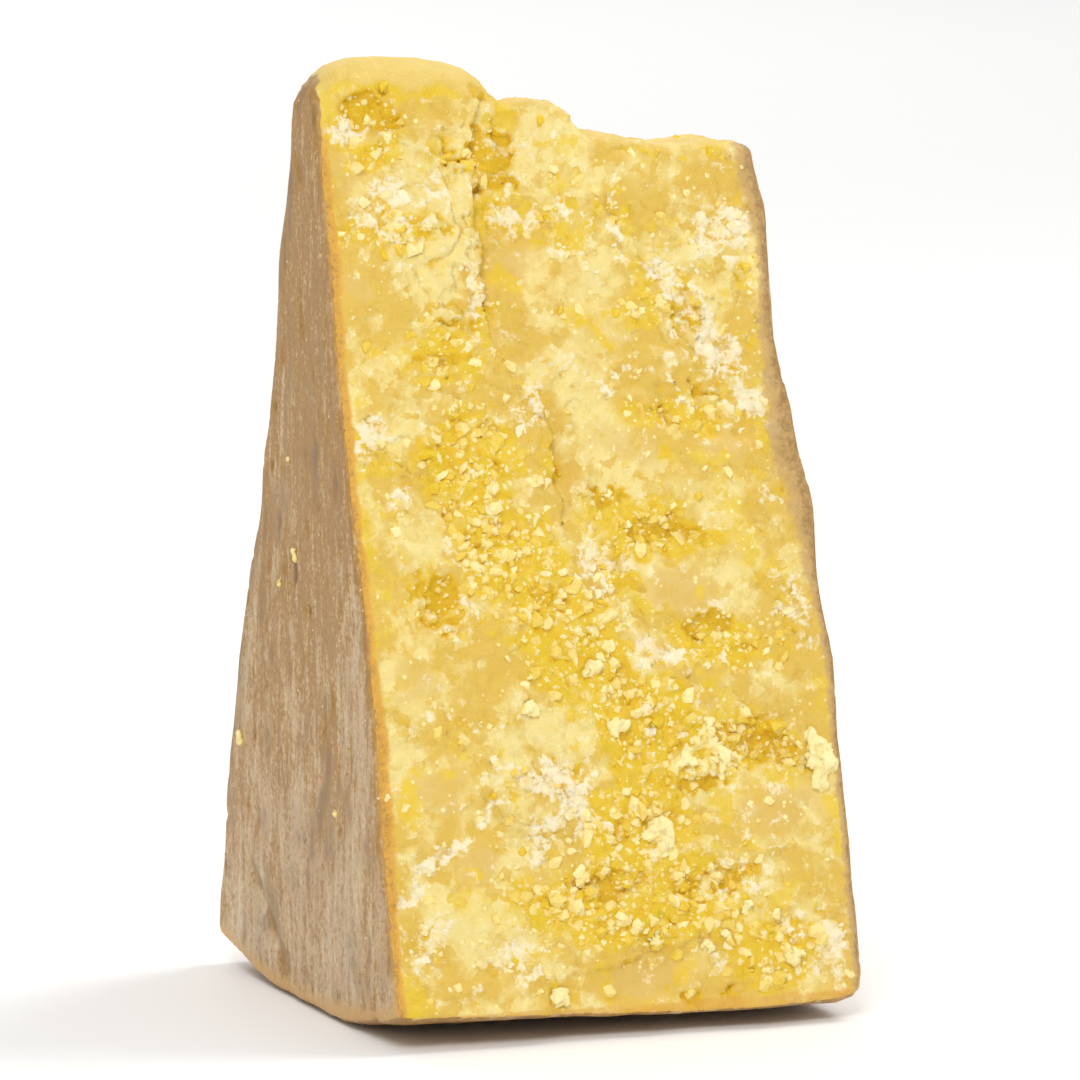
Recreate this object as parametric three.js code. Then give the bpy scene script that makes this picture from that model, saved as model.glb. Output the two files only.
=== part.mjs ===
// A chunk of aged hard cheese: a broken sector of a wheel, standing on the wheel's outer rind.
//
// Millimetres. +X runs along the wheel's axis, from one flat rind to the other. +Z points up, from
// the outer rind towards the wheel's middle. The two broken faces look along -Y (front) and +Y
// (back). The origin is the middle of the box round the chunk, at the height of the table.
//
// The solid is a fine box whose points are moved three times: onto the sharp wedge, then inwards
// where the wedge's edges are worn, then by the relief of the broken faces and of the rind.

import * as THREE from "three";
import { mergeVertices } from "three/addons/utils/BufferGeometryUtils.js";
import { ImprovedNoise } from "three/addons/math/ImprovedNoise.js";

const { degToRad, lerp, clamp, smoothstep } = THREE.MathUtils;

// The wheel
const WHEEL_RADIUS = 178.4;
const WHEEL_HEIGHT = 80.4; // from one flat rind to the other
const REST_FLAT = 0.5; // how much of the outer rind's lowest part is pressed flat
const REST_REACH = 17.3; // half the length of that flat spot
const REST_FADE = 28; // how far from the middle the outer rind is round again
const REST_SIDE = 36; // half the width of the flat spot; from there the outer rind bulges upwards
const RIM_LIFT = 0.5; // height of its two rims over the flat spot

// The chunk
const CUT_LEAN = degToRad(13.95); // of each broken face, from upright
const CHUNK_HEIGHT = 154.2;
const SETTLED = { left: 0, right: 0.34, reach: 40 }; // share of the heel's curve lost at the front

// The upper outline: [x, height]
const CREST = [
  [-40, 151.4],
  [-31, CHUNK_HEIGHT],
  [-22, 153.8],
  [-13.5, 152],
  [-7.6, 146.6],
  [-4.8, 146],
  [-1.2, 147.2],
  [1.2, 146],
  [5.6, 141.4],
  [21, 139.2],
  [29.4, 139.7],
  [36, 138.8],
];

// How far the right rind lies inside the flat of the wheel: [height, distance]
const RIGHT_DISH = [
  [55, 0],
  [67, 1.3],
  [79, 0.6],
  [94, 2.4],
  [109, 4.7],
  [127, 4.6],
  [138, 5.6],
];

// How far the back face lies inside the straight cut, along the left rind: [height, distance]
const BACK_DISH = [
  [6, 0.8],
  [36, -1.9],
  [50, -1.5],
  [64, 0.8],
  [79, 3.2],
  [107, 3.3],
  [123, 1.6],
  [136, 2.6],
];

// Worn edges: radii
const WORN_ARRIS = 1.1;
const WORN_RIM = { left: 1.1, right: 3 }; // where a flat rind meets the outer rind
const WORN_TOP = 4.6; // on the smooth left part of the top
const WORN_TOP_BROKEN = 1.8; // on the rest of the top
const SMOOTH_TOP_ENDS = [-16, -4]; // the stretch of x over which the smooth top gives way
const TOP_ZONE = 13; // height of the stretch where the top's wear sets in
const RIM_ZONE = 9; // the same, along the rims of the outer rind

// The grid
const SEGMENTS = { x: 28, y: 12, z: 52 };
const EDGE_CELL = { x: 1.5, y: 1.8, z: 1.6 }; // width of the cells along the edges

const HALF_WIDTH = WHEEL_HEIGHT / 2;
const CUT_SLOPE = Math.tan(CUT_LEAN);
const AXIS_HEIGHT = WHEEL_RADIUS - REST_FLAT; // of the wheel's axis, over the table
const BASE_DEPTH = 2 * AXIS_HEIGHT * CUT_SLOPE;

// The height over the broken face of what stands proud of it, and the depth of what is sunk in
// it, as ellipses: x, z, half width, half height, depth inwards.
const FRONT_SPOTS = [
  { x: -30.5, z: 144.6, wide: 6.2, high: 3.4, depth: 2.6 }, // the hollow under the crest
  { x: -36.5, z: 134.5, wide: 3.4, high: 4.2, depth: 0.9 },
  { x: -20.5, z: 130, wide: 6.5, high: 13, depth: -1.3 }, // the thick flake
  { x: -9, z: 118, wide: 6, high: 7, depth: 0.7 },
  { x: -8.5, z: 88, wide: 4.5, high: 8, depth: -1.4 }, // the second flake
  { x: -26, z: 69, wide: 6, high: 6, depth: 1.5 },
  { x: 21, z: 111.5, wide: 2.6, high: 3.2, depth: 1.8 },
  { x: 14.5, z: 77.6, wide: 7.5, high: 3, depth: 1.3 },
  { x: 19.5, z: 62.5, wide: 5.5, high: 3, depth: 1.3 },
  { x: 26.5, z: 44.5, wide: 8.5, high: 3.2, depth: 1.7 },
  { x: 15.7, z: 40.5, wide: 6, high: 3.4, depth: -1.4 },
  { x: -10, z: 37, wide: 8, high: 9, depth: -1.0 },
  { x: -30, z: 40, wide: 9, high: 5, depth: 0.6 },
  { x: 29.5, z: 33, wide: 9, high: 6, depth: 0.5 },
  { x: -2, z: 23.5, wide: 7.5, high: 2.8, depth: 1.1 },
  { x: 16.5, z: 22.8, wide: 8.5, high: 2.6, depth: 1.3 },
  { x: 10.7, z: 4.6, wide: 3, high: 2, depth: 1.8 },
  { x: 18.5, z: 4.6, wide: 2.8, high: 2, depth: 1.5 },
];
const BACK_SPOTS = [
  { x: 12, z: 127, wide: 12, high: 7, depth: 1.8 },
  { x: -16, z: 112, wide: 8, high: 10, depth: -1.1 },
  { x: 22, z: 95, wide: 9, high: 6, depth: 1.4 },
  { x: -4, z: 84, wide: 12, high: 5, depth: 1.5 },
  { x: -25, z: 62, wide: 7, high: 6, depth: 1.2 },
  { x: 14, z: 58, wide: 10, high: 8, depth: -1.2 },
  { x: 2, z: 36, wide: 13, high: 5, depth: 1.4 },
  { x: -24, z: 27, wide: 8, high: 6, depth: -1.0 },
  { x: 24, z: 18, wide: 9, high: 5, depth: 1.2 },
];

// The step that runs down the front, with the proud flake on its left: [height, x, step]
const FRONT_STEP = [
  [76, -4.2, 0],
  [80, -4.5, 1.5],
  [94, -4.7, 1.7],
  [99, -8.2, 0.8],
  [106, -12.6, 1.2],
  [111, -13.7, 3],
  [140, -13.8, 3.4],
  [150, -11.5, 2],
];
const FRONT_STEP_FADE = 13; // how far right of the step the ground takes to rise again

// The ledge low on the front, with the sunk smooth facet below it: [x, height, step]
const FRONT_LEDGE = [
  [-15, 9.6, 0],
  [-10, 10, 1.4],
  [0.6, 11, 1.8],
  [3.4, 13, 2],
  [10, 14, 2],
  [14, 15.6, 1.2],
  [20, 16, 0],
];
const FRONT_LEDGE_FADE = 10;

// The step on the back, with the proud side on its right: [height, x, step]
const BACK_STEP = [
  [34, 3, 0],
  [44, 5, 1.7],
  [63, -2, 1.3],
  [72, -11, 2.2],
  [101, -8, 2],
  [112, 3, 1],
  [124, 6, 0],
];
const BACK_STEP_FADE = 15;

const STEP_WIDTH = 1.6; // of a step's own slope
const FULL_RELIEF_DEPTH = 9; // the relief is less where half the chunk is thinner than this

// Where a face's relief fades away, from the middle (0) to the face (1)
const RELIEF_FADE = [0.4, 0.97];
const CREST_FADE = [0.9, 1]; // from the table (0) to the crest (1)
const RELIEF_RISE = 2; // height over the table where the rind's relief is whole

// Uneven ground: size of its waves, and height
const BROKEN_WAVES = [
  { size: 31, height: 1.1 },
  { size: 12, height: 0.75 },
  { size: 6.2, height: 0.45 },
];
const RIND_WAVES = [
  { size: 46, height: 0.7 },
  { size: 17, height: 0.25 },
];
const CREST_WAVES = [{ size: 9, height: 0.3 }];
const FRONT_SEED = 3.7;
const BACK_SEED = 41.3;
const LEFT_SEED = 77.9;
const RIGHT_SEED = 103.1;
const CREST_SEED = 150.6;

const noise = new ImprovedNoise();

// The value at t of a line through points [t, value, ...], eased from point to point.
function alongLine(points, t, column = 1) {
  if (t <= points[0][0]) return points[0][column];
  for (let i = 1; i < points.length; i++) {
    const [before, after] = [points[i - 1], points[i]];
    if (t <= after[0]) {
      return lerp(before[column], after[column], smoothstep(t, before[0], after[0]));
    }
  }
  return points[points.length - 1][column];
}

// Waves of several sizes over the plane (a, b).
function waves(list, a, b, seed) {
  let height = 0;
  for (const { size, height: most } of list) {
    height += most * noise.noise(a / size, b / size, seed + size);
  }
  return height;
}

// A round dent or boss: 1 in its middle and 0 outside the ellipse.
function spotShare(spot, x, z) {
  const away = Math.hypot((x - spot.x) / spot.wide, (z - spot.z) / spot.high);
  return away < 1 ? (1 - away * away) ** 2 : 0;
}

// How far the ground lies sunk on the low side of a step, at the signed distance past its edge.
function stepDepth(past, step, fade) {
  const rise = smoothstep(past, -STEP_WIDTH / 2, STEP_WIDTH / 2);
  return step * rise * (1 - smoothstep(past, fade / 4, fade));
}

function frontDepth(x, z) {
  let depth = waves(BROKEN_WAVES, x, z, FRONT_SEED);
  for (const spot of FRONT_SPOTS) depth += spot.depth * spotShare(spot, x, z);
  const stepX = alongLine(FRONT_STEP, z);
  const stepHeight = z > FRONT_STEP[0][0] ? alongLine(FRONT_STEP, z, 2) : 0;
  depth += stepDepth(x - stepX, stepHeight, FRONT_STEP_FADE);
  const ledgeZ = alongLine(FRONT_LEDGE, x);
  depth += stepDepth(ledgeZ - z, alongLine(FRONT_LEDGE, x, 2), FRONT_LEDGE_FADE);
  return depth;
}

function backDepth(x, z) {
  let depth = waves(BROKEN_WAVES, x, z, BACK_SEED);
  for (const spot of BACK_SPOTS) depth += spot.depth * spotShare(spot, x, z);
  depth += stepDepth(alongLine(BACK_STEP, z) - x, alongLine(BACK_STEP, z, 2), BACK_STEP_FADE);
  return depth + alongLine(BACK_DISH, z) * smoothstep(-x, -HALF_WIDTH, HALF_WIDTH);
}

// Where a grid line lies between -1 and 1, with one narrow cell along each end.
function gridLine(t, segments, span, edgeCell) {
  const index = Math.round(((t + 1) / 2) * segments);
  const edge = (2 * edgeCell) / span;
  if (index === 0 || index === segments) return t;
  return lerp(-1 + edge, 1 - edge, (index - 1) / (segments - 2));
}

// The height of the outer rind over the table.
function heelHeight(x, y) {
  const curve = WHEEL_RADIUS - Math.sqrt(WHEEL_RADIUS ** 2 - y ** 2);
  const lost = lerp(SETTLED.left, SETTLED.right, smoothstep(x, -HALF_WIDTH, HALF_WIDTH / 2));
  const settled = curve * (1 - lost * smoothstep(-y, 0, SETTLED.reach));
  const round = Math.max(0, settled - REST_FLAT) * smoothstep(Math.abs(y), REST_REACH, REST_FADE);
  return round + RIM_LIFT * smoothstep(Math.abs(x), REST_SIDE, HALF_WIDTH);
}

// The sharp wedge: its point for the box's point (u, v, w), with u and v from -1 to 1 and w from 0
// to 1, and how deep that point lies under the nearest flat rind, broken face and outer rind or top.
function wedgePoint(u, v, w) {
  const nearHeight = w * alongLine(CREST, u * HALF_WIDTH);
  const right = HALF_WIDTH - alongLine(RIGHT_DISH, nearHeight);
  const x = lerp(-HALF_WIDTH, right, (u + 1) / 2);
  const halfDepth = (AXIS_HEIGHT - nearHeight) * CUT_SLOPE;
  const y = v * halfDepth;
  const bottom = heelHeight(x, y);
  const top = alongLine(CREST, x);
  const z = lerp(bottom, top, w);
  const under = {
    rind: Math.min(x + HALF_WIDTH, right - x),
    cut: halfDepth - Math.abs(y),
    end: Math.min(z - bottom, top - z),
  };
  return { point: new THREE.Vector3(x, y, z), under, inTop: top - z, inBottom: z - bottom };
}

// The radius to which the wedge's edges are worn near a point.
function wornRadius({ point, under, inTop, inBottom }) {
  const smoothTop = 1 - smoothstep(point.x, SMOOTH_TOP_ENDS[0], SMOOTH_TOP_ENDS[1]);
  const top = lerp(WORN_TOP_BROKEN, WORN_TOP, smoothTop);
  const nearTop = 1 - smoothstep(inTop, 0, TOP_ZONE);
  const nearRim = (1 - smoothstep(inBottom, 0, RIM_ZONE)) * (1 - smoothstep(under.rind, 0, RIM_ZONE));
  const rim = point.x < 0 ? WORN_RIM.left : WORN_RIM.right;
  return Math.max(lerp(WORN_ARRIS, top, nearTop), lerp(WORN_ARRIS, rim, nearRim));
}

// Moves a point of the sharp wedge inwards, onto the worn edge or corner.
function wearEdges(place) {
  const { point, under, inTop, inBottom } = place;
  const radius = wornRadius(place);
  const out = new THREE.Vector3(radius - under.rind, radius - under.cut, radius - under.end);
  out.clampScalar(0, radius);
  const length = out.length();
  if (length === 0) return;
  const kept = radius / length;
  point.x -= Math.sign(point.x) * out.x * Math.max(0, 1 - kept);
  point.y -= Math.sign(point.y) * out.y * Math.max(0, 1 - kept);
  point.z -= Math.sign(inBottom - inTop) * out.z * Math.max(0, 1 - kept);
}

// Moves a point by the relief of the faces near it. Each face's relief fades away into the body.
function addRelief(point, u, v, w) {
  const { x, y, z } = point;
  const thick = clamp(((AXIS_HEIGHT - z) * CUT_SLOPE) / FULL_RELIEF_DEPTH, 0.25, 1);
  const clear = smoothstep(z, 0, RELIEF_RISE);
  point.y += frontDepth(x, z) * thick * smoothstep(-v, ...RELIEF_FADE);
  point.y -= backDepth(x, z) * thick * smoothstep(v, ...RELIEF_FADE);
  point.x += waves(RIND_WAVES, y, z, LEFT_SEED) * clear * smoothstep(-u, ...RELIEF_FADE);
  point.x -= waves(RIND_WAVES, y, z, RIGHT_SEED) * clear * smoothstep(u, ...RELIEF_FADE);
  point.z += waves(CREST_WAVES, x, y, CREST_SEED) * smoothstep(w, ...CREST_FADE);
}

function chunkGeometry() {
  const box = new THREE.BoxGeometry(2, 2, 2, SEGMENTS.x, SEGMENTS.y, SEGMENTS.z);
  box.deleteAttribute("normal");
  box.deleteAttribute("uv");
  const geometry = mergeVertices(box);
  const points = geometry.attributes.position;
  for (let i = 0; i < points.count; i++) {
    const u = gridLine(points.getX(i), SEGMENTS.x, WHEEL_HEIGHT, EDGE_CELL.x);
    const v = gridLine(points.getY(i), SEGMENTS.y, BASE_DEPTH, EDGE_CELL.y);
    const w = (gridLine(points.getZ(i), SEGMENTS.z, CHUNK_HEIGHT, EDGE_CELL.z) + 1) / 2;
    const place = wedgePoint(u, v, w);
    wearEdges(place);
    addRelief(place.point, u, v, w);
    points.setXYZ(i, ...place.point.toArray());
  }
  geometry.computeBoundingBox();
  const middle = geometry.boundingBox.getCenter(new THREE.Vector3());
  geometry.translate(-middle.x, -middle.y, 0);
  geometry.computeVertexNormals();
  return geometry;
}

function cheeseChunk() {
  const paste = new THREE.MeshStandardMaterial({ color: 0xe8c860, roughness: 0.62, metalness: 0 });
  const mesh = new THREE.Mesh(chunkGeometry(), paste);
  mesh.name = "cheese_chunk";
  return mesh;
}

const chunk = new THREE.Group();
chunk.add(cheeseChunk());

export default chunk;
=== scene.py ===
"""The looks of a chunk of aged hard cheese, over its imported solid.

The chunk stands on the wheel's outer rind. Its left and right sides are the wheel's flat rinds, and
its front (-Y) and back (+Y) are broken paste. Marks, steps and crumbs are given in millimetres in
the solid's frame; Blender's own lengths are metres, and MM turns one into the other.
"""

import math
from collections import namedtuple

import bmesh
import bpy
import numpy as np
from bpy.props import FloatProperty, FloatVectorProperty, IntProperty, PointerProperty
from mathutils import Matrix, Vector, noise
from mathutils.bvhtree import BVHTree
from mathutils.kdtree import KDTree


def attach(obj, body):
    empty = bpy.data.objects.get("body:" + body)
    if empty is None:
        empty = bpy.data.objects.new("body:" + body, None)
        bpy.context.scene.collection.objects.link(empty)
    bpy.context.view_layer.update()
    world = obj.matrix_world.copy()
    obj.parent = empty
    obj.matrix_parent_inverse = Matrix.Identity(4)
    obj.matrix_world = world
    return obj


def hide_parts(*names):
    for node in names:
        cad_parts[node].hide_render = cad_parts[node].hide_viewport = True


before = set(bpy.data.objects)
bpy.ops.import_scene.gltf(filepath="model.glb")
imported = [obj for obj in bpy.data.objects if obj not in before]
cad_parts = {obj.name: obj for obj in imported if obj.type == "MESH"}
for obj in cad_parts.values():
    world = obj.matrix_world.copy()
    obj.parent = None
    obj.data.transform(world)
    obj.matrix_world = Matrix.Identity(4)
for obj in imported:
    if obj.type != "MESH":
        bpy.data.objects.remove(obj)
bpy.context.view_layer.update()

bl_info = {
    "name": "Aged hard cheese chunk",
    "version": (1, 0, 0),
    "blender": (4, 5, 0),
    "location": "3D View > Sidebar > Cheese",
    "description": "Makes the paste, rind, grains, crystals, flakes and crumbs of a cheese chunk",
    "category": "Object",
}

MM = 0.001
NODE = "cheese_chunk"
BODY = "root"
MOST_TRIANGLES = 199_000  # of one piece
FAR_OFF = 80  # a place outside the chunk's sides, in millimetres from its middle
RESTING = 0.05  # height under which a point belongs to the flat spot, in millimetres
STEP_REACH = 2.3  # how far beside a step the solid's slope is flattened, in millimetres
STEP_SLOPE = 0.22  # half the width of a sharp step's own slope, in millimetres

# -------------------- marks on the broken faces

# An uneven round mark: its middle, half width and half height, its turn in degrees, and strength.
Spot = namedtuple("Spot", "x z wide high turn strength", defaults=(0, 1))
SPOT_CORE, SPOT_EDGE = 0.45, 1.35  # where a spot begins to fade and where it ends, times its half size
LINE_CORE, LINE_EDGE = 0.4, 1.6  # the same for a thin line


def spots(*rows):
    """Spots, each given as its numbers."""
    return [Spot(*row) for row in rows]


# Dry, white, flaky patches
CHALK = spots(
    (-35.5, 142, 3.6, 3.2), (-27, 132.6, 8.5, 3.6, 12, 0.8), (-30, 127.6, 8, 3.2, -8, 0.6),
    (-15.5, 118, 2.4, 4.5, 0, 0.6), (-7, 128, 5.6, 2.4, -6), (9.4, 128, 0.9, 6, 2),
    (28.5, 125, 5.6, 4.6, 0, 1.15), (30, 136, 4, 1.6, 0, 0.7), (18.5, 116.5, 5.5, 2.4, -35),
    (24.5, 107, 6.5, 3.4, -48, 1.1), (29, 98, 3.5, 3, -50, 0.8), (-35.5, 95, 3.6, 3.4),
    (-33, 84.5, 2.6, 2, 0, 0.8), (31.6, 83.7, 2, 1), (34.6, 65.4, 2.8, 4), (9.6, 59.6, 4, 2.8, -30),
    (1.4, 73.6, 4.6, 3.8, -30, 0.9), (-8, 99, 3.6, 4, 20, 0.7), (-12.6, 41, 5.2, 3.4, 10, 1.1),
    (-6.4, 37, 3.6, 6.5, 0, 1.15), (-12.5, 32.5, 5, 3, 35, 0.9), (35, 12, 3, 7, 0, 0.9),
    (29, 16, 3.4, 2.6, 20, 0.8), (-34, 15, 4, 7, 0, 0.6), (-20, 14, 6, 2.6, 20, 0.6),
    (24.5, 24, 5, 1.6, -15, 0.7),
)

# Deep golden hollows and crevices
GOLD = spots(
    (-31, 145.2, 5.4, 2.9, -8, 1.45), (-10.8, 139.6, 3.4, 4.2, 0, 1.7), (-10.6, 133.6, 3.6, 1.4, 0, 1.6),
    (-17.5, 138.6, 2.4, 1.3, -15, 1.1), (-18.4, 112, 4.6, 1, -14, 0.9), (-22.8, 106, 5, 1.3, 10, 0.9),
    (-16, 96, 1.6, 1.5, 0, 1.1), (-15.2, 90, 1.5, 1.6, 0, 1.1), (-24, 83, 2, 1.8, 0, 1.1),
    (-19.2, 78.4, 1.8, 1.6, 0, 1.2), (-26.6, 69.4, 5, 4, -20, 1.2), (-7.2, 69, 2.6, 2.2, 0, 1.1),
    (20.4, 112, 2.1, 2.5, 0, 1.3), (22.8, 99.8, 3.4, 0.9, -8, 1.1), (13.8, 97.3, 2.6, 1, -5, 1.1),
    (-4.2, 87, 1.6, 1.4, 0, 0.9), (3.8, 84.3, 4.4, 1.1, -6, 1.1), (13.8, 78, 7, 1.8, -10, 1.3),
    (18.8, 63.2, 4.6, 2, 0, 1.2), (3, 56, 5, 4, -40, 0.8), (26, 44.5, 8, 2.2, -14, 1.3),
    (15, 38.4, 5, 1.4, -6, 1.2), (1, 33, 2.2, 1.2, 0, 1), (-2.4, 24, 7.2, 1.7, 0, 1.1),
    (16.2, 23.4, 8, 1.5, 4, 1.2), (10, 5.6, 2.6, 1.2, 0, 1.2), (17.8, 5.6, 2.4, 1, 0, 1.1),
)

# Smooth faces of a clean break, with little grain
SMOOTH = spots(
    (-36.6, 135.4, 2.7, 3.4), (-35.8, 119, 3.2, 3.6), (-8, 119.4, 5.6, 5.4), (4, 108, 8, 6, 20, 0.6),
    (8, 92, 9, 5, -15, 0.7), (15.4, 69, 6.4, 4.4, -10, 1.2), (24.7, 91, 5.4, 3.2, -15),
    (29, 34, 9.5, 5.6, 0, 1), (-30.8, 40.2, 8.6, 4.2, 10), (-23.8, 28.5, 4.6, 4.4, 30),
    (-32, 58, 5, 7, 0, 0.8), (2, 9, 11.5, 2.8, 6, 1.1), (-30, 108, 6, 4, 15, 0.6), (12, 133, 9, 4, 0, 0.6),
)

# Crumbly, bright yellow ground
CRUMBLY = spots(
    (-31, 139, 6, 3.2, 0, 0.8), (-29, 127, 8.5, 4, 0, 0.7), (-24, 107, 9, 4.5, 0, 0.9),
    (-19, 90, 8.5, 10, -25, 1.1), (-14, 75, 10.5, 9, -40, 1.15), (-4, 61, 10.5, 9.5, -50, 1.15),
    (6, 48, 11, 9, -40, 1.15), (10, 79, 12, 5.5, -12, 1), (20, 61, 9, 5, -10, 0.9),
    (22, 45, 12, 5, -12, 1.1), (4, 34, 11, 7.5, 0, 1), (2, 21, 22, 8, 0, 1.15), (25, 12, 10, 6.5, 0, 0.9),
    (16, 96, 11, 3, -8, 0.8), (12, 113, 6, 4, 20, 0.7),
)

# Thin layers that broke off like scales
FLAKY = spots(
    (-20, 127, 8.5, 17, 0, 1.5), (23, 112, 10, 12, -35, 0.9), (-3, 105, 9, 8, 20, 0.9),
    (8, 70, 12, 6, -30, 0.8), (-12, 38, 9, 9, 0, 0.9), (-29, 92, 8, 14, 0, 0.6), (20, 128, 12, 7, 0, 0.6),
)

# Paler, lemon-cream paste
PALE = spots(
    (-23, 127, 8.5, 15, -3, 1.2), (-4, 116, 5, 9, 0, 0.7), (3, 134, 9, 5, 0, 0.8),
    (-30, 100, 6, 10, 0, 0.6), (22, 124, 9, 9, 0, 0.7), (-28, 66, 9, 7, 0, 0.6), (-24, 18, 11, 7, 0, 0.8),
    (34, 28, 4, 10, 0, 0.6), (5, 86, 6, 5, -30, 0.8),
)

# Clear, bright yellow places
YOLK = spots(
    (-7.6, 145.4, 3.4, 2.8, 0, 1.1), (-24, 149, 13, 1.2, -4, 0.9), (-20.4, 139, 3, 3, 0, 0.8),
    (-16, 88, 3, 6, 10, 0.9), (14, 82, 7, 2, -12, 0.7), (22, 50, 8, 2.4, -10, 0.8), (3, 17.4, 9, 2.2, 4, 1),
    (-7, 21, 6, 2, 0, 0.8),
)

# Smooth cream of the old worn crest
CREAM = spots(
    (-24, 153.5, 17, 4.4, -3, 1.3), (0, 148.5, 6, 2.6, 0, 0.6), (20, 140.5, 20, 2, -2, 0.7),
)

# Thin white lines: their points, half width and strength
Line = namedtuple("Line", "points wide strength")
VEINS = [
    Line([(-18.5, 38.5), (-24, 33), (-31, 29), (-39, 21.5)], 0.8, 1),
    Line([(9, 135), (10, 127), (9.4, 121)], 0.4, 0.9),
    Line([(-13, 52), (-20, 49), (-31, 52)], 0.5, 0.5),
    Line([(-6, 105), (4, 101), (13, 103), (22, 96)], 0.6, 0.6),
    Line([(14, 121), (21, 114), (28, 103), (33, 92)], 1.1, 0.8),
    Line([(-37, 124), (-28, 133), (-18, 131)], 0.6, 0.7),
]

FLAKE_TURN = math.radians(-32)  # of the flakes' edges
FLAKE_STRETCH = 0.55  # a flake's length, times its width along its edge
FLAKE_LAYERS = 4.5  # flakes to a wave
FLAKE_EDGE = 0.86  # where in a flake's length its broken edge begins

BACK_TURN = 147  # the back wears the front's marks, turned over about half this height

# The step down the front, as in the solid: (height, x, step). The thick flake is on its left.
FRONT_STEP = [
    (76, -4.2, 0), (80, -4.5, 1.5), (94, -4.7, 1.7), (99, -8.2, 0.8), (106, -12.6, 1.2), (111, -13.7, 3),
    (140, -13.8, 3.4), (150, -11.5, 2),
]
# The ledge low on the front: (x, height, step). The sunk facet is below it.
FRONT_LEDGE = [
    (-15, 9.6, 0), (-10, 10, 1.4), (0.6, 11, 1.8), (3.4, 13, 2), (10, 14, 2), (14, 15.6, 1.2), (20, 16, 0),
]

# -------------------- marks on the flat rinds

# Dents and pits, and scores: y, z in place of x, z
DENTS = spots(
    (4.9, 71, 1.5, 2.8, 20, 1), (-2.3, 64.9, 0.9, 1.2, 0, 0.9), (20, 28, 4, 3, -20, 0.5),
    (14, 97, 0.7, 0.8, 0, 0.8), (15, 86.6, 0.7, 0.8, 0, 0.8), (-1.5, 28, 0.5, 0.5, 0, 0.8),
    (-3.5, 26.6, 0.4, 0.4, 0, 0.8), (-0.5, 25.6, 0.4, 0.5, 0, 0.8), (-31, 72, 0.8, 6, 8, 1.2),
)
SCORES = [Line([(26, 20), (19, 14.5), (12, 8), (9, 5)], 1.3, 0.6)]

# -------------------- larger loose pieces

# A crumb: its place on the face, how far the middles of its lumps stand out of the face, times their
# radius, and the lumps as (across, up, radius) from that place.
Crumb = namedtuple("Crumb", "x z lift lumps")
# Crumbs on the front. The first three are the arms of one star.
CRUMBS = [
    Crumb(17, 42.5, 0.1, [(-4.4, -0.8, 1.7), (-3.2, 0.7, 1.7), (-2.6, -1.2, 1.5), (-5.9, -1, 0.9),
                          (-1.4, -1.8, 0.9)]),
    Crumb(17, 42.5, -0.1, [(-1.2, 2, 1.3), (-0.4, 3.8, 1.5), (0.4, 5.6, 1.2), (0.8, 2.4, 1.2)]),
    Crumb(17, 42.5, 0.1, [(2.4, -0.2, 1.8), (3, 1.7, 0.9), (4.4, -0.4, 1.1), (5.6, -1, 0.6), (2, -2.2, 1),
                          (2, -3.4, 0.5), (4, -1.9, 0.7), (0.9, 0.9, 1)]),
    Crumb(1.6, 48.1, 0.35, [(0, 0, 1.5), (0.9, 0.4, 1)]),
    Crumb(-1.9, 57.1, 0.3, [(0, 0, 1.6), (1.4, 0.3, 1.1), (-1.2, -0.5, 1)]),
    Crumb(7.1, 30.9, 0.3, [(0, 0.6, 2.2), (1.4, -0.8, 1.8), (-1.6, 0.2, 1.5), (0.2, -2, 1.3)]),
    Crumb(36.2, 41, 0, [(0, 2, 2), (0.4, -0.6, 2.4), (-0.6, -3, 1.8), (-1.6, 4, 1.2), (-1.4, 0.6, 1.5)]),
    Crumb(-12.7, 7, 0.5, [(0, 0, 1.6), (0.9, 1, 1.1), (-0.7, -1, 1.1), (0.9, -0.9, 1)]),
    Crumb(20.4, 18.6, 0.3, [(0, 0, 1.3), (0.8, 0.5, 0.9)]),
    Crumb(26, 17.8, 0.3, [(0, 0, 1.2), (-0.7, -0.4, 0.9)]),
    Crumb(4.6, 15, 0.3, [(0, 0, 1.2), (0.7, 0.5, 0.9)]),
    Crumb(14, 13, 0.3, [(0, 0, 1.3), (-0.8, 0.2, 1)]),
    Crumb(28, 11.2, 0.3, [(0, 0, 1.4), (1, 0.3, 1)]),
    Crumb(38.2, 7.2, 0.1, [(0, 0, 1), (-0.6, 0.6, 0.8)]),
    Crumb(17, 15, 0.3, [(0, 0, 1.1)]),
    Crumb(-13.2, 51.6, 0.2, [(0, 0, 1.4), (0.9, -0.9, 1)]),
]
# Torn flecks on the left rind: y, z in place of x, z
RIND_CHIPS = [
    Crumb(3.6, 72.8, 0.1, [(0, 0, 0.8), (0.5, 1.2, 0.7)]),
    Crumb(11.4, 68, 0, [(0, 0, 0.7), (-0.4, 0.8, 0.5)]),
    Crumb(30.6, 39.5, 0.3, [(0, 0, 1.1), (0.6, 1.1, 0.8)]),
    Crumb(-15.6, 34, 0, [(0, 0, 0.6), (0.1, 1, 0.6)]),
    Crumb(-21, 45, 0, [(0, 0, 0.5)]),
    Crumb(7, 88, 0, [(0, 0, 0.5), (0.3, 0.6, 0.4)]),
]
CRUMB_DEPTH = 0.8  # of a lump along Y, as a share of its height
CRUMB_CELL = 0.28  # of the mesh that joins the lumps

# -------------------- layers of colour

# A layer lies over the ones before it: its tone, where its mask begins and where it is full, how much of
# it shows there, and the mask's parts: marks of the mesh and patterns of the shader, with their weights.
Layer = namedtuple("Layer", "tone low high most parts")

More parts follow.
